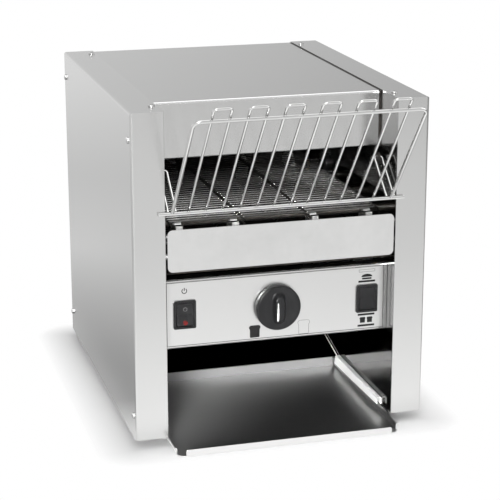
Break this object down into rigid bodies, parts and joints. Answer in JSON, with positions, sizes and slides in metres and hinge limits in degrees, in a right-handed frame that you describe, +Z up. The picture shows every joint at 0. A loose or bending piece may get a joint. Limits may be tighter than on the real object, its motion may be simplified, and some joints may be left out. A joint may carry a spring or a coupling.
{
  "type": "conveyor toaster",
  "caption": "Counter-top conveyor toaster with a wire feed rack, wire belt between quartz heaters, speed knob, rocker switches and a pull-out exit tray.",
  "frame": {"origin": "centre of the bounding box at the counter", "axes": "-Y towards the user, +X to the user's right, +Z up"},
  "size_m": [0.335, 0.5108, 0.3953],
  "materials": {
    "cover_steel": "brushed stainless sheet",
    "dark_steel": "heat-darkened satin",
    "bright_steel": "polished stainless sheet",
    "liner_steel": "bright rolled stainless sheet",
    "white_enamel": "white enamelled sheet",
    "fascia_metal": "fine satin",
    "rack_wire": "bright drawn wire",
    "belt_wire": "drawn wire, dulled by heat",
    "machined_steel": "turned and bright",
    "chain_steel": "oiled",
    "motor_metal": "plain zinc",
    "bush_bronze": "sintered, satin",
    "heater_glass": "milky quartz",
    "black_plastic": "semi-gloss",
    "pointer_white": "matt",
    "lamp_red": "clear red",
    "board_green": "lacquered board",
    "ceramic": "unglazed steatite",
    "foot_rubber": "matt"
  },
  "bodies": {
    "body": {"left_side_cover": "cover_steel", "right_side_cover": "cover_steel", "top_cover": "cover_steel", "back_panel": "cover_steel", "control_panel": "cover_steel", "base_pan": "dark_steel", "control_box": "dark_steel", "rack_hooks": "dark_steel", "left_inner_wall": "liner_steel", "right_inner_wall": "liner_steel", "toast_chute": "liner_steel", "upper_reflector": "bright_steel", "lower_reflector": "bright_steel", "front_guard_plate": "bright_steel", "left_tray_guide": "white_enamel", "right_tray_guide": "white_enamel", "fascia": "fascia_metal", "conveyor_belt": "belt_wire", "guard_pins": "machined_steel", "top_screws": "machined_steel", "side_screws": "machined_steel", "drive_chain": "chain_steel", "gear_motor": "motor_metal", "speed_control": "motor_metal", "shaft_bushes": "bush_bronze", "upper_heater_1": "heater_glass", "upper_heater_2": "heater_glass", "upper_heater_3": "heater_glass", "upper_heater_4": "heater_glass", "lower_heater_1": "heater_glass", "lower_heater_2": "heater_glass", "lower_heater_3": "heater_glass", "power_switch_body": "black_plastic", "selector_switch_body": "black_plastic", "cable_gland": "black_plastic", "control_board": "board_green", "terminal_block": "ceramic", "limit_thermostat": "ceramic", "front_left_foot": "foot_rubber", "front_right_foot": "foot_rubber", "rear_left_foot": "foot_rubber", "rear_right_foot": "foot_rubber"},
    "speed_dial": {"speed_knob": "black_plastic", "knob_pointer": "pointer_white", "speed_spindle": "machined_steel"},
    "power_key": {"power_rocker": "black_plastic", "power_lamp_lens": "lamp_red"},
    "selector_key": {"selector_rocker": "black_plastic"},
    "rack": {"rack_frame": "rack_wire", "rack_hairpins": "rack_wire", "rack_lower_bar": "rack_wire", "rack_hangers": "rack_wire"},
    "tray": {"exit_tray": "bright_steel"},
    "front_roller": {"front_shaft": "machined_steel", "front_belt_sprockets": "machined_steel", "drive_sprocket": "machined_steel"},
    "rear_roller": {"rear_shaft": "machined_steel", "rear_belt_sprockets": "machined_steel"},
    "motor_output": {"motor_sprocket": "machined_steel"}
  },
  "joints": [
    {"name": "speed_turn", "type": "hinge", "parent": "body", "child": "speed_dial", "pos_m": [0, -0.12733, 0.143], "axis": [0, 1, 0], "range_deg": [-135, 135]},
    {"name": "power_rock", "type": "hinge", "parent": "body", "child": "power_key", "pos_m": [-0.1045, -0.12433, 0.143], "axis": [1, 0, 0], "range_deg": [0, 15]},
    {"name": "selector_rock", "type": "hinge", "parent": "body", "child": "selector_key", "pos_m": [0.1045, -0.12433, 0.143], "axis": [1, 0, 0], "range_deg": [0, 15]},
    {"name": "rack_lift", "type": "hinge", "parent": "body", "child": "rack", "pos_m": [0, -0.10735, 0.29937], "axis": [-1, 0, 0], "range_deg": [0, 60]},
    {"name": "tray_slide", "type": "slide", "parent": "body", "child": "tray", "axis": [0, -1, 0], "range_m": [0, 0.18]},
    {"name": "front_roller_turn", "type": "hinge", "parent": "body", "child": "front_roller", "pos_m": [0, -0.12351, 0.22788], "axis": [1, 0, 0], "continuous": true},
    {"name": "rear_roller_turn", "type": "hinge", "parent": "body", "child": "rear_roller", "pos_m": [0, 0.16629, 0.22788], "axis": [1, 0, 0], "continuous": true},
    {"name": "motor_turn", "type": "hinge", "parent": "body", "child": "motor_output", "pos_m": [0, -0.05563, 0.15], "axis": [1, 0, 0], "continuous": true}
  ],
  "couplings": [
    {"joint": "rear_roller_turn", "follows": "front_roller_turn", "ratio": 1},
    {"joint": "motor_turn", "follows": "front_roller_turn", "ratio": 1.5}
  ]
}
